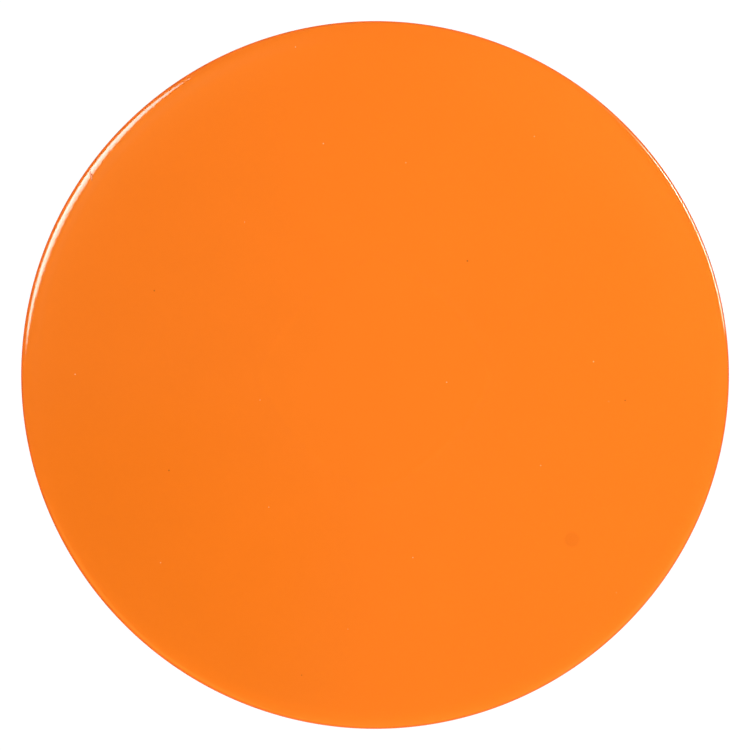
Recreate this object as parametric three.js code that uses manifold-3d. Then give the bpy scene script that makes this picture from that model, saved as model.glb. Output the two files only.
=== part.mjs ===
// A flying disc: one injection-moulded thermoplastic shell, open underneath.
//
// Millimetres, +Z up. The origin is on the disc's axis, in the plane of the
// rim's foot, which is the plane the disc rests on.
//
// One closed profile turned about Z makes the plate, shoulder, rim wall and
// foot. Shallow ejector-pin marks are then cut into the plate's underside.

import * as THREE from 'three';
import * as BufferGeometryUtils from 'three/addons/utils/BufferGeometryUtils.js';
import Module from 'manifold-3d';

const { degToRad } = THREE.MathUtils;

// ---- driving dimensions, mm ------------------------------------------------

const OUTER_RADIUS = 235 / 2;    // at the parting line, the widest point
const HEIGHT = 27.5;             // rest plane to the top of the plate

const LAND_RADIUS = 20;          // flat land in the middle of the top face
const CROWN = 1.0;               // rise of the face from the shoulder to the land
const SHOULDER_WIDTH = 6.5;      // elliptical shoulder: how far in it starts
const SHOULDER_DEPTH = 2.8;      // and how far down the rim wall begins

const WALL_BULGE = 0.45;         // rim wall swells this much down to its widest
const PARTING_HEIGHT = 7;        // parting line over the rest plane
const FOOT_TUCK = 0.12;          // foot starts this much inside that line
const FOOT_OUTER_WIDTH = 1.8;    // elliptical rounding of the foot, outside
const FOOT_OUTER_HEIGHT = 3.4;
const FOOT_INNER_RADIUS = 1.0;   // rounding of the foot, inside

const RIM_INNER_RADIUS = 113.7;  // inside of the rim wall, over the grip bead
const BEAD_DEPTH = 0.9;          // low grip bead round the inside of the foot
const BEAD_HEIGHT = 3.4;         // top of its fullest part over the rest plane
const BEAD_TOP = 8.5;            // where it has blended back into the wall
const CORE_DRAFT = 1.0;          // degrees, inside of the rim wall
const CORNER_RADIUS = 3.0;       // inside corner between rim wall and plate

const PLATE_CENTRE = 1.6;        // plate thickness at the middle
const PLATE_EDGE = 1.9;          // plate thickness where it meets the corner

const RING_RADIUS = 38;          // low witness ring of the mould's core insert
const RING_WIDTH = 1.4;          // at half its height
const RING_HEIGHT = 0.3;
const RING_HALF_SLOPE = 0.15;    // half the radial run of each sloping side

const PAD_RADIUS = 7;            // sunk pad round the gate, so its stub is safe
const PAD_DEPTH = 0.4;
const PAD_SLOPE = 0.6;           // radial run of its sloping side
const GATE_RADIUS = 1.6;         // trimmed stub of the gate, at its tip
const GATE_HEIGHT = 0.35;
const GATE_TAPER = 0.15;         // how much wider the stub is at its root

const PIN_COUNT = 8;             // ejector-pin witness marks
const PIN_CIRCLE = 85.1;         // their pitch radius
const PIN_RADIUS = 2.38;         // 3/16 inch pins
const PIN_DEPTH = 0.2;
const PIN_FIRST_ANGLE = -40;     // degrees about Z from +X
const PIN_CUTTER_LENGTH = 4;

// ---- profile stations and facets -------------------------------------------

const CROWN_RADII = [50, 78, 98];
const SHOULDER_TILTS = [5, 10, 16, 23, 31, 40, 50, 60, 71, 81, 90];  // degrees
const WALL_HEIGHTS = [18.5, 13.5, 10, PARTING_HEIGHT];
const BEAD_BLEND = [0, 0.35, 0.65, 1];  // fractions of the way up the blend
const UNDERSIDE_RADII = [98, 78, 58];

const DISC_SEGMENTS = 96;
const PIN_SEGMENTS = 24;
const FOOT_OUTER_STEPS = 5;
const FOOT_INNER_STEPS = 3;
const CORNER_STEPS = 5;

// ---- derived sizes ---------------------------------------------------------

const shoulderZ = HEIGHT - CROWN;
const wallTopZ = shoulderZ - SHOULDER_DEPTH;
const shoulderStart = OUTER_RADIUS - WALL_BULGE - SHOULDER_WIDTH;
const beadRadius = RIM_INNER_RADIUS - BEAD_DEPTH;

// Height of the top face: a flat land, then a low parabolic crown.
function crownZ(radius) {
  const u = Math.max(radius - LAND_RADIUS, 0) / (shoulderStart - LAND_RADIUS);
  return HEIGHT - CROWN * Math.min(u, 1) ** 2;
}

// The underside follows the crown, with the plate thickening outwards.
function undersideZ(radius) {
  const u = Math.min(radius / shoulderStart, 1);
  return crownZ(radius) - PLATE_CENTRE - (PLATE_EDGE - PLATE_CENTRE) * u;
}

// ---- profile: each section is a list of [radius, z] ------------------------

// Elliptical arc. Angles are in degrees, measured from +Z towards +radius.
function arc({ centre: [radius, z], width, height, from, to, steps }) {
  return Array.from({ length: steps + 1 }, (_, i) => {
    const angle = degToRad(from + ((to - from) * i) / steps);
    return [radius + width * Math.sin(angle), z + height * Math.cos(angle)];
  });
}

function topFace() {
  return [0, LAND_RADIUS, ...CROWN_RADII, shoulderStart].map((r) => [r, crownZ(r)]);
}

// A quarter of a flat ellipse added to the crown, so the face falls away
// gently at first and turns tightly into the rim wall.
function shoulder() {
  const crownSlope = (2 * CROWN) / (shoulderStart - LAND_RADIUS);
  const fullCarry = (crownSlope * SHOULDER_WIDTH) / 2;
  return SHOULDER_TILTS.map((degrees) => {
    const tilt = degToRad(degrees);
    // Where on the ellipse its surface has this tilt.
    const angle = Math.atan2(SHOULDER_WIDTH * Math.sin(tilt), SHOULDER_DEPTH * Math.cos(tilt));
    const out = SHOULDER_WIDTH * Math.sin(angle);
    // The crown's slope runs on into the shoulder and fades out over it.
    const carry = crownSlope * (out - (out * out) / (2 * SHOULDER_WIDTH));
    const fall = (SHOULDER_DEPTH - fullCarry) * (1 - Math.cos(angle)) + carry;
    return [shoulderStart + out, shoulderZ - fall];
  });
}

// The rim wall swells gently down to its widest at the parting line.
function outerWall() {
  return WALL_HEIGHTS.map((z) => {
    const u = (z - PARTING_HEIGHT) / (wallTopZ - PARTING_HEIGHT);
    return [OUTER_RADIUS - WALL_BULGE * u * u, z];
  });
}

function foot() {
  const outside = arc({
    centre: [OUTER_RADIUS - FOOT_TUCK - FOOT_OUTER_WIDTH, FOOT_OUTER_HEIGHT],
    width: FOOT_OUTER_WIDTH,
    height: FOOT_OUTER_HEIGHT,
    from: 90,
    to: 180,
    steps: FOOT_OUTER_STEPS,
  });
  const inside = arc({
    centre: [beadRadius + FOOT_INNER_RADIUS, FOOT_INNER_RADIUS],
    width: FOOT_INNER_RADIUS,
    height: FOOT_INNER_RADIUS,
    from: 180,
    to: 270,
    steps: FOOT_INNER_STEPS,
  });
  return [...outside, ...inside];
}

// The grip bead blends back into the wall along a smooth S curve.
function gripBead() {
  return BEAD_BLEND.map((u) => [
    beadRadius + BEAD_DEPTH * u * u * (3 - 2 * u),
    BEAD_HEIGHT + (BEAD_TOP - BEAD_HEIGHT) * u,
  ]);
}

// The corner starts where the drafted inside of the rim wall ends.
function insideCorner() {
  const z = undersideZ(RIM_INNER_RADIUS - CORNER_RADIUS) - CORNER_RADIUS;
  const wallRadius = RIM_INNER_RADIUS - (z - BEAD_TOP) * Math.tan(degToRad(CORE_DRAFT));
  return arc({
    centre: [wallRadius - CORNER_RADIUS, z],
    width: CORNER_RADIUS,
    height: CORNER_RADIUS,
    from: 90,
    to: 0,
    steps: CORNER_STEPS,
  });
}

function witnessRing() {
  const outer = RING_RADIUS + RING_WIDTH / 2;
  const inner = RING_RADIUS - RING_WIDTH / 2;
  return [
    [outer + RING_HALF_SLOPE, undersideZ(outer)],
    [outer - RING_HALF_SLOPE, undersideZ(outer) - RING_HEIGHT],
    [inner + RING_HALF_SLOPE, undersideZ(inner) - RING_HEIGHT],
    [inner - RING_HALF_SLOPE, undersideZ(inner)],
  ];
}

function gatePad() {
  const rimZ = undersideZ(PAD_RADIUS);
  const floorZ = rimZ + PAD_DEPTH;
  const stubZ = floorZ - GATE_HEIGHT;
  return [
    [PAD_RADIUS, rimZ],
    [PAD_RADIUS - PAD_SLOPE, floorZ],
    [GATE_RADIUS + GATE_TAPER, floorZ],
    [GATE_RADIUS, stubZ],
    [0, stubZ],
  ];
}

// From the top of the axis out, down, in under the foot and back to the axis.
const profile = [
  ...topFace(),
  ...shoulder(),
  ...outerWall(),
  ...foot(),
  ...gripBead(),
  ...insideCorner(),
  ...UNDERSIDE_RADII.map((r) => [r, undersideZ(r)]),
  ...witnessRing(),
  [LAND_RADIUS, undersideZ(LAND_RADIUS)],
  ...gatePad(),
];

// ---- solids ----------------------------------------------------------------

const wasm = await Module();
wasm.setup();

// Closed three.js geometry to a solid. Normals and UVs go first, since they
// would keep the vertices along seams and edges from merging.
function solidOf(geometry) {
  geometry.deleteAttribute('normal');
  geometry.deleteAttribute('uv');
  const merged = BufferGeometryUtils.mergeVertices(geometry, 1e-5);
  return new wasm.Manifold(new wasm.Mesh({
    numProp: 3,
    vertProperties: new Float32Array(merged.attributes.position.array),
    triVerts: new Uint32Array(merged.index.array),
  }));
}

function geometryOf(solid) {
  const mesh = solid.getMesh();
  const positions = new Float32Array(mesh.vertProperties);
  const geometry = new THREE.BufferGeometry();
  geometry.setAttribute('position', new THREE.BufferAttribute(positions, 3));
  geometry.setIndex(new THREE.BufferAttribute(new Uint32Array(mesh.triVerts), 1));
  geometry.computeVertexNormals();
  return geometry;
}

// LatheGeometry turns about Y. Reversing the profile makes the faces point
// out, and the rotation turns Y up to Z.
function turnedShell() {
  const points = profile.map(([radius, z]) => new THREE.Vector2(radius, z)).reverse();
  return solidOf(new THREE.LatheGeometry(points, DISC_SEGMENTS).rotateX(Math.PI / 2));
}

function pinCutter(index) {
  const angle = degToRad(PIN_FIRST_ANGLE + (360 * index) / PIN_COUNT);
  const topZ = undersideZ(PIN_CIRCLE) + PIN_DEPTH;
  const pin = new THREE.CylinderGeometry(PIN_RADIUS, PIN_RADIUS, PIN_CUTTER_LENGTH, PIN_SEGMENTS);
  pin.rotateX(Math.PI / 2);
  pin.translate(
    PIN_CIRCLE * Math.cos(angle),
    PIN_CIRCLE * Math.sin(angle),
    topZ - PIN_CUTTER_LENGTH / 2,
  );
  return solidOf(pin);
}

function makeDiscBody() {
  let body = turnedShell();
  for (let i = 0; i < PIN_COUNT; i++) body = body.subtract(pinCutter(i));
  const mesh = new THREE.Mesh(geometryOf(body), makeOrangePlastic());
  mesh.name = 'disc_body';
  return mesh;
}

function makeOrangePlastic() {
  return new THREE.MeshStandardMaterial({
    color: new THREE.Color(0.93, 0.19, 0.012),
    roughness: 0.12,
    metalness: 0,
  });
}

const flyingDisc = new THREE.Group();
flyingDisc.name = 'flying_disc';
flyingDisc.add(makeDiscBody());

export default flyingDisc;
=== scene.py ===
# A moulded orange plastic disc, open underneath: a crowned plate, a rounded shoulder and a rim wall
# that ends in a foot ring. Its axis is Z, its foot stands on z = 0, and the camera looks straight
# down on it with +X to the right and +Y up the frame. Metres.

import math

import bmesh
import bpy
import numpy as np
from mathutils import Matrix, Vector


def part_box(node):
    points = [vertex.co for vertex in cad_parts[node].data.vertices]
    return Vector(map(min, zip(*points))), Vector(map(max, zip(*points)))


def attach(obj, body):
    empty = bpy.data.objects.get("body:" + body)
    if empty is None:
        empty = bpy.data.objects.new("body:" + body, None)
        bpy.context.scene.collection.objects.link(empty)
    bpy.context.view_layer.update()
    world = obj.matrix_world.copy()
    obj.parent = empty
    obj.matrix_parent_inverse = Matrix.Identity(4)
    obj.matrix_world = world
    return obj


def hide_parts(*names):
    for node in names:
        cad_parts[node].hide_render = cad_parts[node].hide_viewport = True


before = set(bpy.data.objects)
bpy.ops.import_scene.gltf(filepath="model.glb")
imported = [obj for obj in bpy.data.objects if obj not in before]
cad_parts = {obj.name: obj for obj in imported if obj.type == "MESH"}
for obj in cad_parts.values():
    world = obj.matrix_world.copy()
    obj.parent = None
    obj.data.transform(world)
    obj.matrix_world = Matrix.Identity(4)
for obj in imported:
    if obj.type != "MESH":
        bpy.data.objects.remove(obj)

scene = bpy.context.scene
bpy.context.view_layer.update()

# ---------------------------------------------------------------------------
# Dimensions. The outside size comes from the CAD body; the rest are the section's own.
# ---------------------------------------------------------------------------

MM = 0.001
box_lo, box_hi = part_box("disc_body")
WIDEST_R = (box_hi.x - box_lo.x) / 2   # at the parting line
TOP_Z = box_hi.z                       # top of the land

LAND_R = 20 * MM                       # flat middle of the top face
CROWN = 1.0 * MM                       # fall of the top face from land to shoulder
SHOULDER_W = 6.5 * MM
SHOULDER_D = 2.8 * MM
BULGE = 0.45 * MM                      # how far the wall swells from its top to the parting line
PARTING_Z = 7 * MM
WITNESS_OUT = 0.045 * MM               # parting witness: how far it stands out
WITNESS_HALF = 0.14 * MM               # and its half height
FOOT_TUCK = 0.12 * MM
FOOT_W = 1.8 * MM
FOOT_H = 3.4 * MM
FOOT_IN = 1.0 * MM                     # rounding inside the foot
RIM_IN = 113.7 * MM                    # inside radius of the wall
BEAD_D = 0.9 * MM
BEAD_FOOT = 2.2 * MM
BEAD_H = 3.4 * MM
BEAD_TOP = 8.5 * MM
CORE_DRAFT = math.radians(1.0)
CORNER = 3.0 * MM                      # rounding between the wall and the plate
PLATE_MID = 1.6 * MM                   # plate thickness at the axis
PLATE_EDGE = 1.9 * MM                  # and at the shoulder
RING_R = 38 * MM                       # low ring under the plate
RING_W = 1.4 * MM
RING_H = 0.3 * MM
PAD_R = 7 * MM                         # pad sunk into the underside
PAD_D = 0.4 * MM
GATE_R = 1.6 * MM                      # gate stub in the pad
GATE_H = 0.35 * MM
PIN_CIRCLE = 85.1 * MM                 # ejector-pin marks
PIN_R = 2.38 * MM
PIN_D = 0.2 * MM
PIN_COUNT = 8
PIN_FIRST = math.radians(-40)
PIN_TAPER = (0.10 * MM, -0.05 * MM)    # added to the radius at the cutter's bottom and top
PIN_CUTTER_H = 0.6 * MM

AROUND = 660                           # facets round the disc
PIN_AROUND = 56
SHARP_ANGLE = math.radians(32)

# Radii of the points on the land, and on the underside outside and inside the ring, mm
LAND_POINTS = (0, 5, 11, 16, 20)
PLATE_OUTSIDE_RING = (104, 96, 80, 70, 60, 50, 43)
PLATE_INSIDE_RING = (30, 20, 12)

# Surface tilt at each shoulder point, degrees: close steps, so the turn reflects smoothly
SHOULDER_TILTS = (
    0.7, 1.5, 2.5, 3.6, 4.8, 6.2, 7.8, 9.5, 11.5, 13.5, 16, 18.5, 21, 24, 27, 30,
    33.5, 37, 41, 45, 49, 53, 57.5, 62, 66.5, 71, 75, 79, 82.5, 85.5, 88, 90)

# Parting witness and the tuck below it: inset from the widest radius, height over the parting, mm
PARTING_POINTS = ((0, 0.05), (0, -0.05), (0.045, -0.14), (0.06, -1.3), (0.085, -2.5))

# Offsets from each edge of the ring, mm, with the share of its height from outside to inside
RING_OFFSETS = (0.20, 0.11, -0.11, -0.20)
RING_RISE = (0, 0.06, 0.94, 1)

wall_top_z = TOP_Z - CROWN - SHOULDER_D
wall_top_r = WIDEST_R - BULGE
shoulder_r = wall_top_r - SHOULDER_W
crown_slope = 2 * CROWN / (shoulder_r - LAND_R)

# ---------------------------------------------------------------------------
# Section. Points are (radius, z).
# ---------------------------------------------------------------------------


def smooth(share):
    share = min(max(share, 0.0), 1.0)
    return share * share * (3 - 2 * share)


def crown_at(radius):
    share = max(radius - LAND_R, 0.0) / (shoulder_r - LAND_R)
    return TOP_Z - CROWN * min(share, 1.0) ** 2


def underside(radius):
    thicker = (PLATE_EDGE - PLATE_MID) * min(radius / shoulder_r, 1.0)
    return crown_at(radius) - PLATE_MID - thicker


def shoulder_point(tilt):
    turn = math.pi / 2
    if tilt < 90:
        turn = math.atan(SHOULDER_W / SHOULDER_D * math.tan(math.radians(tilt)))
    out = SHOULDER_W * math.sin(turn)
    # the crown's slope carries on into the shoulder and dies out across it
    full = crown_slope * SHOULDER_W / 2
    carry = crown_slope * (out - out * out / (2 * SHOULDER_W))
    drop = (SHOULDER_D - full) * (1 - math.cos(turn))
    return shoulder_r + out, TOP_Z - CROWN - drop - carry


def cavity_points():
    """The polished outside, from the axis on top to the bottom of the foot."""
    points = [(radius * MM, TOP_Z) for radius in LAND_POINTS]
    for i in range(1, 18):
        radius = LAND_R + (shoulder_r - LAND_R) * i / 18
        points.append((radius, crown_at(radius)))
    points.append((shoulder_r, TOP_Z - CROWN))
    points += [shoulder_point(tilt) for tilt in SHOULDER_TILTS]

    # rim wall, parting witness and tuck
    for i in range(1, 9):
        z = wall_top_z + (PARTING_Z + WITNESS_HALF - wall_top_z) * i / 8
        share = (z - PARTING_Z) / (wall_top_z - PARTING_Z)
        points.append((WIDEST_R - WITNESS_OUT - (BULGE - WITNESS_OUT) * share * share, z))
    points += [(WIDEST_R - inset * MM, PARTING_Z + over * MM) for inset, over in PARTING_POINTS]

    # outside of the foot
    foot_r = WIDEST_R - FOOT_TUCK - FOOT_W
    for i in range(11):
        turn = math.radians(90 + 90 * i / 10)
        points.append((foot_r + FOOT_W * math.sin(turn), FOOT_H + FOOT_H * math.cos(turn)))
    return points


def core_points():
    """The satin inside, from the foot up the wall and in to the axis underneath."""
    points = []

    # inside rounding of the foot, and the bead
    bead_r = RIM_IN - BEAD_D
    for i in range(7):
        turn = math.radians(180 + 90 * i / 6)
        points.append((bead_r + FOOT_IN + FOOT_IN * math.sin(turn),
                       FOOT_IN + FOOT_IN * math.cos(turn)))
    points += [(bead_r, BEAD_FOOT), (bead_r, BEAD_H)]
    for i in range(1, 9):
        share = i / 8
        points.append((bead_r + BEAD_D * smooth(share), BEAD_H + (BEAD_TOP - BEAD_H) * share))

    # inside of the wall, and the corner under the plate
    corner_z = underside(RIM_IN - CORNER) - CORNER
    corner_wall = RIM_IN - (corner_z - BEAD_TOP) * math.tan(CORE_DRAFT)
    for i in range(1, 4):
        share = i / 4
        points.append((RIM_IN + (corner_wall - RIM_IN) * share,
                       BEAD_TOP + (corner_z - BEAD_TOP) * share))
    for i in range(11):
        turn = math.radians(90 * i / 10)
        points.append((corner_wall - CORNER + CORNER * math.cos(turn),
                       corner_z + CORNER * math.sin(turn)))

    # underside of the plate, with its ring
    points += [(mm * MM, underside(mm * MM)) for mm in PLATE_OUTSIDE_RING]
    for edge, rises in ((RING_R + RING_W / 2, RING_RISE), (RING_R - RING_W / 2, RING_RISE[::-1])):
        for offset, rise in zip(RING_OFFSETS, rises):
            radius = edge + offset * MM
            points.append((radius, underside(radius) - RING_H * rise))
    points += [(mm * MM, underside(mm * MM)) for mm in PLATE_INSIDE_RING]

    # sunk pad and the gate stub
    pad_z = underside(PAD_R)
    roof_z = pad_z + PAD_D
    stub_z = roof_z - GATE_H
    points += [
        (PAD_R + 0.1 * MM, pad_z),
        (PAD_R - 0.1 * MM, pad_z + 0.06 * MM),
        (PAD_R - 0.5 * MM, roof_z - 0.06 * MM),
        (PAD_R - 0.7 * MM, roof_z),
        (4.2 * MM, roof_z),
        (GATE_R + 0.22 * MM, roof_z),
        (GATE_R + 0.10 * MM, roof_z - 0.08 * MM),
        (GATE_R, stub_z + 0.06 * MM),
        (GATE_R - 0.12 * MM, stub_z),
        (0.8 * MM, stub_z - 0.04 * MM),
        (0.0, stub_z + 0.05 * MM)]
    return points


# ---------------------------------------------------------------------------
# Mesh and node helpers
# ---------------------------------------------------------------------------

def add_object(name, data):
    made = bpy.data.objects.new(name, data)
    scene.collection.objects.link(made)
    return made


def mesh_from_bmesh(name, shape):
    mesh = bpy.data.meshes.new(name)
    shape.to_mesh(mesh)
    shape.free()
    return mesh


def mesh_with_attribute(name, verts, faces, attribute, values):
    mesh = bpy.data.meshes.new(name)
    mesh.from_pydata(verts, [], faces)
    mesh.update()
    data = mesh.attributes.new(attribute, "FLOAT", "POINT").data
    data.foreach_set("value", np.array(values, np.float32))
    return mesh


class Value:
    """A node's output. Arithmetic on it adds Math nodes."""

    def __init__(self, net, socket):
        self.net, self.socket = net, socket

    def __add__(self, other):
        return self.net.math("ADD", self, other)

    def __radd__(self, other):
        return self.net.math("ADD", other, self)

    def __sub__(self, other):
        return self.net.math("SUBTRACT", self, other)

    def __rsub__(self, other):
        return self.net.math("SUBTRACT", other, self)

    def __mul__(self, other):
        return self.net.math("MULTIPLY", self, other)

    def __rmul__(self, other):
        return self.net.math("MULTIPLY", other, self)

    def __truediv__(self, other):
        return self.net.math("DIVIDE", self, other)


class Net:
    """The node tree of a material or world, emptied and given its output node."""

    def __init__(self, owner, output="ShaderNodeOutputMaterial"):
        owner.use_nodes = True
        self.tree = owner.node_tree
        self.tree.nodes.clear()
        self.output = self.tree.nodes.new(output)

    def new(self, kind, sockets=(), **props):
        """Adds a node. sockets is a list of inputs in order, or a dict by index or name."""
        node = self.tree.nodes.new(kind)
        for name, setting in props.items():
            setattr(node, name, setting)
        for key, value in sockets.items() if isinstance(sockets, dict) else enumerate(sockets):
            if isinstance(value, Value):
                self.tree.links.new(value.socket, node.inputs[key])
            else:
                node.inputs[key].default_value = value
        return node

    def value(self, kind, sockets=(), output=0, **props):
        return Value(self, self.new(kind, sockets, **props).outputs[output])

    def surface(self, value):
        self.tree.links.new(value.socket, self.output.inputs["Surface"])

    def math(self, operation, *operands, **props):
        return self.value("ShaderNodeMath", operands, operation=operation, **props)

    def vec(self, operation, *operands, scale=None):
        sockets = dict(enumerate(operands))
        if scale is not None:
            sockets["Scale"] = scale
        output = "Value" if operation in ("LENGTH", "DOT_PRODUCT", "DISTANCE") else 0
        return self.value("ShaderNodeVectorMath", sockets, output, operation=operation)

    def combine(self, x, y, z):
        return self.value("ShaderNodeCombineXYZ", (x, y, z))

    def separate(self, vector):
        return [Value(self, s) for s in self.new("ShaderNodeSeparateXYZ", [vector]).outputs]

    def step(self, value, zero, one):
        """0 up to the value zero and 1 from the value one on, smooth between; falls if zero > one."""
        ends = (one, zero, 1.0, 0.0) if zero > one else (zero, one, 0.0, 1.0)
        return self.value("ShaderNodeMapRange", (value, *ends), interpolation_type="SMOOTHSTEP")

    def noise(self, vector, scale, detail, rough):
        return self.value("ShaderNodeTexNoise", {
            "Vector": vector, "Scale": scale, "Detail": detail, "Roughness": rough})

    def mix_rgb(self, share, first, second):
        return self.value("ShaderNodeMix", {0: share, 6: first, 7: second}, 2, data_type="RGBA")

    def mix(self, share, first, second):
        return self.value("ShaderNodeMix", {0: share, 2: first, 3: second}, data_type="FLOAT")

    def mix_shader(self, share, first, second):
        return self.value("ShaderNodeMixShader", (share, first, second))

    def emission(self, sockets):
        return self.value("ShaderNodeEmission", sockets)

    def camera_height(self):
        """1 when the camera looks straight down, 0 when it is level."""
        up = self.value("ShaderNodeVectorTransform", [(0, 0, 1)], vector_type="VECTOR",
                        convert_from="WORLD", convert_to="CAMERA")
        return self.math("ABSOLUTE", self.separate(up)[2])

    def camera_high(self):
        """1 when the camera is nearly overhead, 0 when it has come down."""
        return self.step(self.camera_height(), zero=0.62, one=0.95)

    def camera_below(self):
        """1 when the camera is under the floor."""
        place = self.value("ShaderNodeVectorTransform", [(0, 0, 0)], vector_type="POINT",
                           convert_from="CAMERA", convert_to="WORLD")
        return self.step(self.separate(place)[2], zero=0.0, one=-0.10)


# ---------------------------------------------------------------------------
# Plastic
# ---------------------------------------------------------------------------

WHITE = (1, 1, 1, 1)
ORANGE = (0.945, 0.197, 0.0110, 1)
SHADE_ORANGE = (0.930, 0.140, 0.0095, 1)       # painted shade: the orange darkened for the steep shoulder and wall
SCUFFED = (0.93, 0.46, 0.22, 1)
PALE_DUST = (0.98, 0.75, 0.52, 1)
DARK_DUST = (0.50, 0.09, 0.008, 1)
# painted shade: the dark colour in the nick's groove
NICK_SHADE = (0.48, 0.10, 0.01, 1)

HAIRLINE_COUNT = 9
HAIRLINE_REACH = 0.104                 # how far out their middles may lie
HAIRLINE_HALF = 0.00009                # half width

# The nick is two short grooves from one point: end x, end y, half width
NICK_START = (-0.0941, 0.0670)
NICK_GROOVES = ((-0.0935, 0.0644, 0.00022), (-0.0931, 0.0655, 0.00015))


def specks(net, flat, scale, offset, small, large, keep):
    """Round specks of radius small to large, in the share of cells left above keep."""
    cells = net.new("ShaderNodeTexVoronoi", {
        "Vector": net.vec("ADD", flat, offset), "Scale": scale, "Randomness": 1.0},
        voronoi_dimensions="2D", feature="F1", distance="EUCLIDEAN")
    random = net.separate(Value(net, cells.outputs["Color"]))
    size = small * scale + random[0] * ((large - small) * scale)
    hit = net.step(Value(net, cells.outputs["Distance"]) / size, zero=1.0, one=0.45)
    return hit * net.step(random[1], zero=keep, one=keep + 0.001)


def groove(net, flat, start_x, start_y, end_x, end_y, half):
    """1 along a straight line seen from above, fading to 0 at its half width."""
    start, run = Vector((start_x, start_y, 0)), Vector((end_x - start_x, end_y - start_y, 0))
    here = net.vec("SUBTRACT", flat, tuple(start))
    along = net.math("DIVIDE", net.vec("DOT_PRODUCT", here, tuple(run)), run.length_squared,
                     use_clamp=True)
    nearest = net.vec("SCALE", tuple(run), scale=along)
    off = net.vec("LENGTH", net.vec("SUBTRACT", here, nearest))
    return net.step(off, zero=half, one=half * 0.15)


def scratches(net, flat):
    """Hairlines strewn over the face, by a fixed seed."""
    lines = None
    rng = np.random.default_rng(41)
    for _ in range(HAIRLINE_COUNT):
        place = rng.uniform(0, 2 * math.pi)
        far = math.sqrt(rng.uniform(0.02, 1)) * HAIRLINE_REACH
        turn, length = rng.uniform(0, math.pi), rng.uniform(0.006, 0.030)
        x, y = far * math.cos(place), far * math.sin(place)
        half_x, half_y = math.cos(turn) * length / 2, math.sin(turn) * length / 2
        line = groove(net, flat, x - half_x, y - half_y, x + half_x, y + half_y, HAIRLINE_HALF)
        lines = line if lines is None else net.math("MAXIMUM", lines, line)
    return lines


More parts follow.
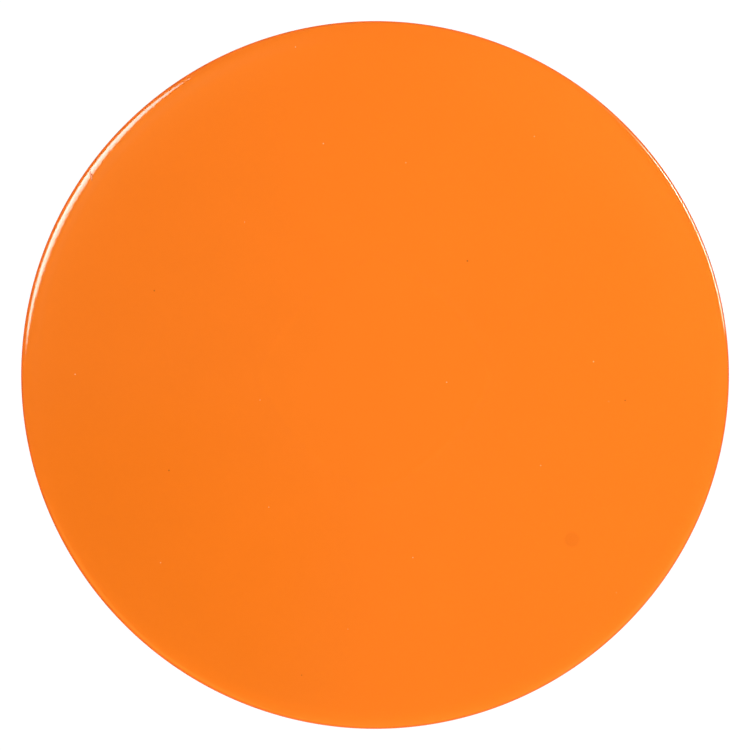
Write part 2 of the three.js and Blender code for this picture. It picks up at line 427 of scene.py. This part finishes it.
def disc_plastic():
    """One orange plastic. The cavity side is polished; the core side, marked by the core_side
    attribute, is satin and keeps the turning marks of the mould."""
    material = bpy.data.materials.new("disc_plastic")
    net = Net(material)
    coords = net.value("ShaderNodeTexCoord", output="Object")
    x, y, z = net.separate(coords)
    flat = net.combine(x, y, 0.0)
    radius = net.vec("LENGTH", flat)
    core = net.value("ShaderNodeAttribute", output="Fac", attribute_name="core_side")
    skin = 1.0 - core
    edge = wall_top_r - radius                          # distance in from the outline
    on_top = skin * net.step(z, zero=0.0225, one=0.0235)
    face = on_top * net.step(edge, zero=0.0012, one=0.0022)

    # faint flow clouds of the pigment
    cloud = net.noise(coords, scale=17.0, detail=2.0, rough=0.55)
    fine = net.noise(coords, scale=75.0, detail=3.0, rough=0.6)
    tone = 1.0 + (cloud - 0.5) * 0.060 + (fine - 0.5) * 0.022

    # a faint round read-through of one ejector pin, slightly off its centre
    mark_at = (PIN_CIRCLE * math.cos(PIN_FIRST) - 0.3 * MM,
               PIN_CIRCLE * math.sin(PIN_FIRST) + 0.4 * MM, 0.0)
    mark = face * net.step(net.vec("DISTANCE", flat, mark_at), zero=0.0030, one=0.0020)
    tone = tone * (1.0 - mark * 0.075)

    # the shoulder and the rim wall are painted a deeper orange, as painted shade for their steep
    # faces; most of all at the shoulder
    shoulder_shade = (net.step(z, zero=0.02530, one=0.02435)
            * net.mix(net.step(z, zero=0.0235, one=0.0200), 1.0, 0.45))
    colour = net.vec("SCALE", net.mix_rgb(shoulder_shade, ORANGE, SHADE_ORANGE), scale=tone)

    # handling scuffs on the foot, stretched upright
    scuff = net.noise(net.vec("MULTIPLY", coords, (1, 1, 0.35)), scale=620.0, detail=3.0, rough=0.7)
    foot = net.step(z, zero=0.0016, one=0.0002) * net.step(scuff, zero=0.50, one=0.72)
    colour = net.mix_rgb(foot * 0.30, colour, SCUFFED)

    # settled dust
    pale = specks(net, flat, scale=23.5, offset=(0.013, 0.029, 0),
                  small=0.00010, large=0.00028, keep=0.20) * face
    dark = specks(net, flat, scale=14.0, offset=(0.031, 0.007, 0),
                  small=0.00022, large=0.00044, keep=0.30) * face
    colour = net.mix_rgb(pale * 0.55, colour, PALE_DUST)
    colour = net.mix_rgb(dark * 0.85, colour, DARK_DUST)

    # hairline scratches, and one small nick in the shoulder
    hairlines = scratches(net, flat) * face
    nick = net.math("MAXIMUM", *[groove(net, flat, *NICK_START, *end) for end in NICK_GROOVES])
    nick = nick * on_top
    # the nick is painted dark, as painted shade in its groove
    colour = net.mix_rgb(nick * 0.75, colour, NICK_SHADE)

    # relief of the polished side; the last factor of each noise is its height in metres
    wave = net.noise(coords, scale=42.0, detail=1.0, rough=0.4) * 5.0e-6
    peel = net.noise(coords, scale=430.0, detail=2.0, rough=0.5) * 0.45e-6

    # ripples and hairs on the shoulder run in and out, as the noise is stretched along the radius
    round_rim = net.vec("SCALE", net.vec("NORMALIZE", flat), scale=WIDEST_R)
    streak_at = net.vec("ADD", round_rim, net.combine(0.0, 0.0, radius * 0.62))
    ripple = (net.noise(streak_at, scale=700.0, detail=2.0, rough=0.6) * 5.2e-5
              * (net.step(edge, zero=0.0010, one=0.0020)
                 * net.step(edge, zero=0.0085, one=0.0028)) * on_top)
    hair_at = net.vec("ADD", net.vec("SCALE", round_rim, scale=1.0),
                      net.combine(0.0, 0.0, radius * 0.06))
    hair = net.noise(hair_at, scale=1500.0, detail=1.0, rough=0.4)
    hairs = (net.step(hair, zero=0.66, one=0.74) * -1.6e-6
             * net.step(edge, zero=0.0009, one=0.0018)
             * net.step(edge, zero=0.0085, one=0.0035) * on_top)
    pressed = mark * -2.0e-6
    cuts = hairlines * -1.0e-6 + nick * -5.0e-5
    gloss_relief = wave + peel + ripple + hairs + pressed + cuts

    # relief of the core side: turning marks about the axis, and a fine spark-eroded grain
    turned_at = net.combine(radius * 1.0, z * 1.0, 0.0)
    turning = net.noise(turned_at, scale=1700.0, detail=1.0, rough=0.5) * 3.2e-6
    grain = net.noise(coords, scale=2600.0, detail=3.0, rough=0.65) * 2.6e-6
    slow = net.noise(coords, scale=60.0, detail=1.0, rough=0.4) * 8.0e-6
    satin_relief = turning + grain + slow

    relief = gloss_relief * skin + satin_relief * core + foot * -6.0e-6
    normal = net.value("ShaderNodeBump", {"Strength": 1.0, "Distance": 1.0, "Height": relief})

    # roughness: a base for each side, and what each blemish adds
    smear_at = net.vec("MULTIPLY", coords, (1.0, 2.2, 1.0))
    smear = net.noise(smear_at, scale=26.0, detail=3.0, rough=0.6)
    gloss_rough = (0.045 + smear * 0.035 + pale * 0.4 + mark * 0.03
                   + hairlines * 0.12 + nick * 0.30)
    satin_rough = 0.34 + fine * 0.12
    rough = gloss_rough * skin + satin_rough * core + foot * 0.35

    net.surface(net.value("ShaderNodeBsdfPrincipled", {
        "Base Color": colour, "Roughness": rough, "Normal": normal, "IOR": 1.5}))
    return material


# ---------------------------------------------------------------------------
# The disc
# ---------------------------------------------------------------------------

def turned_disc():
    """The section turned about Z as a closed body, with 0 on the cavity side and 1 on the core
    side kept in core_side."""
    points = [(*at, 0.0) for at in cavity_points()] + [(*at, 1.0) for at in core_points()]
    angles = np.arange(AROUND) * 2 * math.pi / AROUND
    cosines, sines = np.cos(angles), np.sin(angles)
    verts, core = [(0.0, 0.0, points[0][1])], [points[0][2]]
    for radius, z, side in points[1:-1]:
        verts += list(zip((radius * cosines).tolist(), (radius * sines).tolist(), [z] * AROUND))
        core += [side] * AROUND
    verts.append((0.0, 0.0, points[-1][1]))
    core.append(points[-1][2])

    last = len(verts) - 1
    pairs = [(j, (j + 1) % AROUND) for j in range(AROUND)]
    faces = [(0, 1 + j, 1 + k) for j, k in pairs]
    for i in range(len(points) - 3):
        upper, lower = 1 + i * AROUND, 1 + (i + 1) * AROUND
        faces += [(upper + j, lower + j, lower + k, upper + k) for j, k in pairs]
    final = last - AROUND
    faces += [(final + j, last, final + k) for j, k in pairs]
    return mesh_with_attribute("disc_skin", verts, faces, "core_side", core)


def pin_cutter():
    shape = bmesh.new()
    for i in range(PIN_COUNT):
        turn = PIN_FIRST + i * 2 * math.pi / PIN_COUNT
        top = underside(PIN_CIRCLE) + PIN_D
        made = bmesh.ops.create_cone(
            shape, cap_ends=True, segments=PIN_AROUND, radius1=PIN_R + PIN_TAPER[0],
            radius2=PIN_R + PIN_TAPER[1], depth=PIN_CUTTER_H)
        bmesh.ops.translate(shape, verts=made["verts"], vec=(
            PIN_CIRCLE * math.cos(turn), PIN_CIRCLE * math.sin(turn), top - PIN_CUTTER_H / 2))
    return add_object("pin_cut", mesh_from_bmesh("pin_cut", shape))


def mark_pins_as_core(mesh):
    """The points that the cut made belong to the core side too."""
    count = len(mesh.vertices)
    places = np.empty(count * 3, np.float32)
    mesh.vertices.foreach_get("co", places)
    places = places.reshape(-1, 3)
    core = np.empty(count, np.float32)
    mesh.attributes["core_side"].data.foreach_get("value", core)
    near_pins = np.abs(np.hypot(places[:, 0], places[:, 1]) - PIN_CIRCLE) < 5 * MM
    core[near_pins & (places[:, 2] < TOP_Z - 1.2 * MM)] = 1.0
    mesh.attributes["core_side"].data.foreach_set("value", core)


skin = add_object("disc_skin", turned_disc())
cutter = pin_cutter()
cut = skin.modifiers.new("pins", "BOOLEAN")
cut.operation = "DIFFERENCE"
cut.solver = "EXACT"
cut.object = cutter
bpy.context.view_layer.update()
depsgraph = bpy.context.evaluated_depsgraph_get()
done = bpy.data.meshes.new_from_object(skin.evaluated_get(depsgraph))
skin.modifiers.clear()
skin.data = done
done.name = "disc_skin"
bpy.data.objects.remove(cutter)
mark_pins_as_core(done)

for polygon in done.polygons:
    polygon.use_smooth = True
done.set_sharp_from_angle(angle=SHARP_ANGLE)

done.materials.clear()
done.materials.append(disc_plastic())
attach(skin, "root")
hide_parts("disc_body")

# the CAD node isn't shown, and still carries the same finish
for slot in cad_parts["disc_body"].material_slots:
    slot.material = done.materials[0]

# ---------------------------------------------------------------------------
# Floor
# ---------------------------------------------------------------------------

FLOOR_R = 6.0
FLOOR_Z = -0.00005                     # just clear of the foot
BACKDROP = 1.04                        # what the camera sees of the floor and the world


def pale_floor():
    material = bpy.data.materials.new("pale_floor")
    net = Net(material)
    geometry = net.new("ShaderNodeNewGeometry")
    x, y, _ = net.separate(Value(net, geometry.outputs["Position"]))
    away = net.vec("LENGTH", net.combine(x, y, 0.0))

    # what the camera sees: shadow shows at low angles, close to the disc
    white = net.emission({"Color": WHITE, "Strength": BACKDROP})
    sheet = net.value("ShaderNodeBsdfDiffuse", {"Color": (0.90, 0.90, 0.895, 1)})
    lift = net.emission({"Color": WHITE, "Strength": 0.20})
    paper = net.value("ShaderNodeAddShader", (sheet, lift))
    shadow_share = (0.85 * net.step(net.camera_height(), zero=0.93, one=0.55)
                    * net.step(away, zero=0.62, one=0.20))
    seen = net.mix_shader(shadow_share, white, paper)

    # what lights the disc from below: dim under the disc, brighter for a camera under the floor
    from_above = net.mix(net.step(away, zero=0.10, one=0.20), 0.15, 0.48)
    glow = net.emission({"Strength": net.mix(net.camera_below(), from_above, 0.85)})
    camera_ray = net.value("ShaderNodeLightPath", output="Is Camera Ray")
    both = net.mix_shader(camera_ray, glow, seen)

    # from underneath the floor isn't there
    clear = net.value("ShaderNodeBsdfTransparent")
    net.surface(net.mix_shader(Value(net, geometry.outputs["Backfacing"]), both, clear))
    return material


circle = bmesh.new()
bmesh.ops.create_circle(circle, cap_ends=True, segments=96, radius=FLOOR_R)
floor = add_object("floor", mesh_from_bmesh("floor", circle))
floor.location = (0, 0, FLOOR_Z)
floor.data.materials.append(pale_floor())
floor.visible_glossy = False

# ---------------------------------------------------------------------------
# Light. A place is given by its turn, degrees round from +X towards +Y, and its rise, degrees
# above the horizon.
# ---------------------------------------------------------------------------

RIM_Z = 0.0265                         # height from which the cards' spans are seen
LAMP_AIM = Vector((0, 0, 0.02))
WARM = (1.0, 0.55, 0.14)


def direction(turn, rise):
    turn, rise = math.radians(turn), math.radians(rise)
    return Vector((math.cos(turn) * math.cos(rise), math.sin(turn) * math.cos(rise),
                   math.sin(rise)))


def lamp(name, turn, rise, distance, size, watts):
    """A soft area lamp that gives light but isn't mirrored in the gloss."""
    data = bpy.data.lights.new(name, "AREA")
    data.shape = "DISK"
    data.size = size
    data.energy = watts
    data.cycles.use_multiple_importance_sampling = False  # or a trace still shows in the gloss
    made = add_object(name, data)
    made.location = LAMP_AIM + direction(turn, rise) * distance
    made.rotation_euler = (LAMP_AIM - made.location).to_track_quat("-Z", "Y").to_euler()
    made.visible_camera = False
    made.visible_glossy = False


def card_material(name, high, low, tint, low_only):
    material = bpy.data.materials.new(name)
    net = Net(material)
    here = net.value("ShaderNodeAttribute", output="Fac", attribute_name="glow")
    power = net.mix(net.camera_high(), low, high) * here
    if low_only:
        power = power * net.step(net.camera_height(), zero=low_only[1], one=low_only[0])
    glow = net.emission({"Color": (*tint, 1), "Strength": power})
    see_through = net.value("ShaderNodeBsdfTransparent")
    net.surface(net.value("ShaderNodeAddShader", (glow, see_through)))
    return material


def card(name, turns, rises, distance, level, high=0.0, low=0.0, step=1.25, tint=(1, 1, 1),
         low_only=None):
    """A glowing card that only the gloss sees. turns and rises are its spans as the rim at each
    turn sees it, step is its grid in degrees, and level(turn, rise) is how bright it is there,
    0 to 1. high and low are its strengths for a high and a low camera. low_only is the pair of
    camera heights between which it goes out."""
    cols = max(2, round((turns[1] - turns[0]) / step))
    rows = max(2, round((rises[1] - rises[0]) / step))
    verts, faces, glow = [], [], []
    for i in range(cols + 1):
        turn = turns[0] + (turns[1] - turns[0]) * i / cols
        eye = direction(turn, 0) * wall_top_r + Vector((0, 0, RIM_Z))
        for j in range(rows + 1):
            rise = rises[0] + (rises[1] - rises[0]) * j / rows
            verts.append(tuple(eye + direction(turn, rise) * distance))
            glow.append(level(turn, rise))
    for i in range(cols):
        for j in range(rows):
            k = i * (rows + 1) + j
            corners = (k, k + rows + 1, k + rows + 2, k + 1)
            if max(glow[corner] for corner in corners) > 0:
                faces.append(corners)
    made = add_object(name, mesh_with_attribute(name, verts, faces, "glow", glow))
    for ray in ("camera", "diffuse", "transmission", "volume_scatter", "shadow"):
        setattr(made, "visible_" + ray, False)
    made.data.materials.append(card_material(name, high, low, tint, low_only))


def ramp(value, zero, one):
    """0 at zero, 1 at one, smooth between; zero may be the larger."""
    return smooth((value - zero) / (one - zero))


def softbox(turn, rise):
    """Rounded softbox about turn 149, rise 34.9; it sags and dims towards its ends, and dims
    towards its top edge."""
    off = turn - 149
    sag = 0.0070 * off ** 2 - 0.12 * off if off < 0 else 0.0140 * off ** 2
    outline = (abs(off) / 26.2) ** 2.1 + (abs(rise - 34.9 + sag) / 16.4) ** 2.1
    ends = 1 - (0.52 if off < 0 else 0.40) * (off / 26) ** 2
    return ramp(outline, 1.10, 0.88) * (1 - 0.48 * ramp(rise, 32, 51)) * ends


def strip(turn, rise):
    """Low strip light between a bottom and a top edge that both climb, fading at its far end."""
    bottom = 0.2 + 2.0 * ramp(turn, 14, 7.5) + 4.0 * ramp(turn, 22, 32) + 3.0 * ramp(turn, 36, 48)
    top = 8.4 + 1.0 * ramp(turn, 12, 7.5) + 4.4 * ramp(turn, 22, 32)
    body = ramp(rise, bottom - 1.0, bottom + 1.0) * ramp(rise, top + 1.0, top - 1.0)
    return (body * (1 - 0.93 * ramp(turn, 33, 45)) * ramp(turn, 6.5, 8.5)
            * (0.70 + 0.30 * ramp(turn, 8, 18)) * ramp(turn, 56, 46))


def halo(turn, rise):
    return ramp(turn, 84, 122) * ramp(turn, 206, 150) * ramp(rise, 85, 75) * ramp(rise, 60, 68)


def rim_ring(turn, rise):
    facing = 0.35 + 0.65 * math.cos(math.radians(turn - 135)) ** 2
    return ramp(rise, 40, 46) * ramp(rise, 62, 56) * facing


def hill(centre, reach, top, bottom):
    """Brightest at the turn centre; top and bottom are the rises where it is 0 and full."""
    return lambda turn, rise: (ramp(abs(turn - centre), reach, 0)
                               * ramp(rise, *top) * ramp(rise, *bottom))


def soft_card(name, turns, rises, distance, soft, fade_top=None, **options):
    """An even card with soft edges; soft is their width in turn and in rise, and fade_top is
    the rise where the top edge would reach 0, if not the card's own top."""
    top = rises[1] if fade_top is None else fade_top
    card(name, turns, rises, distance, lambda turn, rise: (
        ramp(turn, turns[0], turns[0] + soft[0]) * ramp(turn, turns[1], turns[1] - soft[0])
        * ramp(rise, rises[0], rises[0] + soft[1]) * ramp(rise, top, top - soft[1])), **options)


# what gives the light, with the world: a soft high key, and a weak lamp close to the -Y edge
lamp("key", turn=24, rise=62, distance=0.62, size=0.30, watts=2.35)
lamp("near_fill", turn=277, rise=17, distance=0.27, size=0.12, watts=0.050)

# what the gloss mirrors
card("round_softbox", (121, 178), (13, 54), 1.1, softbox, high=18.0, low=0.45)
card("strip", (6, 57), (-2, 16), 1.2, strip, high=41.0, low=2.4, step=1.0)
card("halo", (84, 206), (60, 87), 1.1, halo, high=0.16, step=3.0)
card("warm_halo", (80, 192), (46, 88), 0.25,
     hill(centre=136, reach=56, top=(87, 81), bottom=(46, 50)), high=1.1, step=2.0, tint=WARM)
card("warm_right", (-26, 102), (50, 90), 0.25,
     hill(centre=38, reach=62, top=(90, 84), bottom=(52, 64)), high=0.50, step=2.0, tint=WARM)
soft_card("fill_card_left", (196, 256), (8, 40), 1.3, soft=(15, 9), high=1.8,
          tint=(1.0, 0.55, 0.10))
soft_card("fill_card_right", (292, 346), (-4, 26), 1.3, soft=(14, 10), fade_top=30, high=2.0,
          tint=(1.0, 0.58, 0.17))

# three broad windows that only show once the camera has come down, so the disc still reads as gloss
soft_card("window_back", (136, 172), (4, 40), 1.8, soft=(4, 10), low=1.15, step=1.0)
soft_card("window_front", (300, 318), (-9, 30), 1.8, soft=(4, 8), low=0.60, step=1.0)
soft_card("window_side", (196, 222), (-9, 24), 1.8, soft=(6, 8), low=0.85, step=1.0)

# a ring overhead, for a low camera only: it draws the thin bright line along the shoulder
card("rim_light", (0, 360), (40, 62), 1.8, rim_ring, low=6.0, step=3.0, low_only=(0.44, 0.58))


def build_world():
    """Three strengths: what the camera sees, what the gloss mirrors, and what lights the disc."""
    world = bpy.data.worlds.new("studio")
    scene.world = world
    net = Net(world, "ShaderNodeOutputWorld")
    path = net.new("ShaderNodeLightPath")
    way = net.value("ShaderNodeTexCoord", output="Generated")
    x, y, z = net.separate(way)
    high = net.camera_high()
    level = net.vec("NORMALIZE", net.combine(x, y, 0.0))
    off_top = net.vec("LENGTH", net.combine(x, y, 0.0))

    # mirrored: nearly dark overhead for a high camera, pale near the horizon for a low one
    to_left = net.vec("DOT_PRODUCT", level, (-0.766, -0.643, 0.0))
    left = net.step(to_left, zero=0.76, one=0.94) * net.step(off_top, zero=0.02, one=0.09)
    right = net.step(net.vec("DOT_PRODUCT", way, (0.94, 0.34, 0.0)), zero=0.05, one=0.14)
    dark_top = (net.mix(net.step(z, zero=0.97, one=0.70), 0.02, 0.05)
                + (1.0 - left) * 0.075 + right * -0.010)
    pale_low = (net.mix(net.step(z, zero=0.50, one=0.14), 0.07, 0.24)
                + net.step(z, zero=0.20, one=0.06) * 0.52)
    mirrored = net.mix(high, pale_low, dark_top)

    # lighting: an even fill and a low ring, brighter away from the key and on the -Y side
    away_from_key = net.vec("DOT_PRODUCT", level, (-0.985, -0.17, 0.0))
    from_front = net.vec("DOT_PRODUCT", level, (-0.035, -0.999, 0.0))
    brighter = (1.0 + net.step(away_from_key, zero=-0.5, one=0.5) * 0.95
                + net.step(from_front, zero=0.15, one=0.80) * 1.45)
    ring = net.step(z, zero=0.40, one=0.06) * 1.70 * brighter * net.mix(high, 0.43, 1.0)
    lit = net.mix(high, 0.50, 0.390) + ring

    strength = net.mix(Value(net, path.outputs["Is Glossy Ray"]), lit, mirrored)
    strength = net.mix(Value(net, path.outputs["Is Camera Ray"]), strength, BACKDROP)
    net.surface(net.value("ShaderNodeBackground", {"Color": WHITE, "Strength": strength}))


build_world()

scene.view_settings.view_transform = "Standard"
scene.view_settings.look = "None"
scene.view_settings.exposure = 0.0
scene.view_settings.gamma = 1.0

# ---------------------------------------------------------------------------
# Camera: straight down over the axis, with the outline filling the frame
# ---------------------------------------------------------------------------

CAM_Z = 1.20
SENSOR = 36.0                          # mm
OUTLINE_SHARE = 0.9438666667           # outline's diameter over the frame's width
SHIFT = -6.666667e-5                   # the same across and up

outline_z = wall_top_z + 0.10 * MM
span = 2 * wall_top_r / OUTLINE_SHARE
cam_data = bpy.data.cameras.new("camera")
cam = add_object("camera", cam_data)
cam_data.type = "PERSP"
cam_data.sensor_width = SENSOR
cam_data.lens = SENSOR * (CAM_Z - outline_z) / span
cam.location = (0, 0, CAM_Z)
cam.rotation_euler = (0, 0, 0)
cam_data.shift_x = SHIFT
cam_data.shift_y = SHIFT
cam_data.clip_start, cam_data.clip_end = 0.01, 50.0
scene.camera = cam
